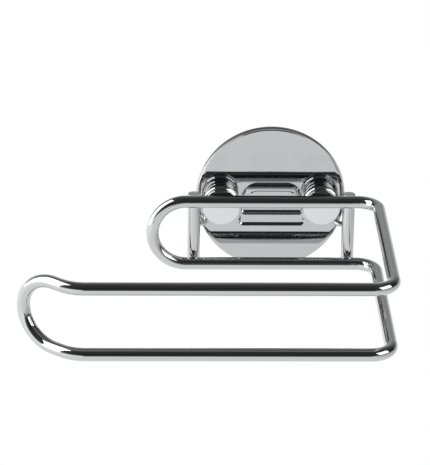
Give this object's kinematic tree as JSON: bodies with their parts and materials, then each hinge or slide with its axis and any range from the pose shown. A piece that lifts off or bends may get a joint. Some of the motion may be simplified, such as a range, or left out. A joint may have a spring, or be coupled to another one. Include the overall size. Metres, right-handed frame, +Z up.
{
  "type": "toilet roll holder",
  "caption": "Wall-mounted toilet roll holder: a bent chrome wire arm with its tip turned back to the wall, hung by hooks behind the knobs of a round wall plate.",
  "frame": {"origin": "middle of the adhesive pad's rear face, where it meets the wall", "axes": "+X to the right as seen from the room, +Y into the wall, +Z up"},
  "size_m": [0.1425, 0.1025, 0.06],
  "materials": {
    "chrome": "polished chrome plate",
    "bright_chrome": "turned and polished, chrome plated",
    "stud_steel": "machined stainless steel",
    "carrier_plastic": "moulded black plastic",
    "pad_foam": "grey foam adhesive"
  },
  "bodies": {
    "holder": {"adhesive_pad": "pad_foam", "stud_carrier": "carrier_plastic", "stud_left": "stud_steel", "stud_right": "stud_steel", "wall_plate": "chrome", "hook_left": "chrome", "hook_right": "chrome", "upright_left": "chrome", "upright_right": "chrome", "roll_rail": "chrome"},
    "washer_left_body": {"washer_left": "bright_chrome"},
    "washer_right_body": {"washer_right": "bright_chrome"},
    "knob_left_body": {"knob_left": "bright_chrome"},
    "knob_right_body": {"knob_right": "bright_chrome"}
  },
  "joints": [
    {"name": "washer_left_slide", "type": "slide", "parent": "holder", "child": "washer_left_body", "axis": [0, -1, 0], "range_m": [0, 0.0012]},
    {"name": "washer_right_slide", "type": "slide", "parent": "holder", "child": "washer_right_body", "axis": [0, -1, 0], "range_m": [0, 0.0012]},
    {"name": "knob_left_turn", "type": "hinge", "parent": "washer_left_body", "child": "knob_left_body", "pos_m": [-0.02005, -0.011, 0], "axis": [0, -1, 0], "range_deg": [0, 540]},
    {"name": "knob_right_turn", "type": "hinge", "parent": "washer_right_body", "child": "knob_right_body", "pos_m": [0.02005, -0.011, 0], "axis": [0, -1, 0], "range_deg": [0, 540]}
  ],
  "couplings": [
    {"joint": "washer_left_slide", "follows": "knob_left_turn", "m_per_rad": 0.000127},
    {"joint": "washer_right_slide", "follows": "knob_right_turn", "m_per_rad": 0.000127}
  ]
}
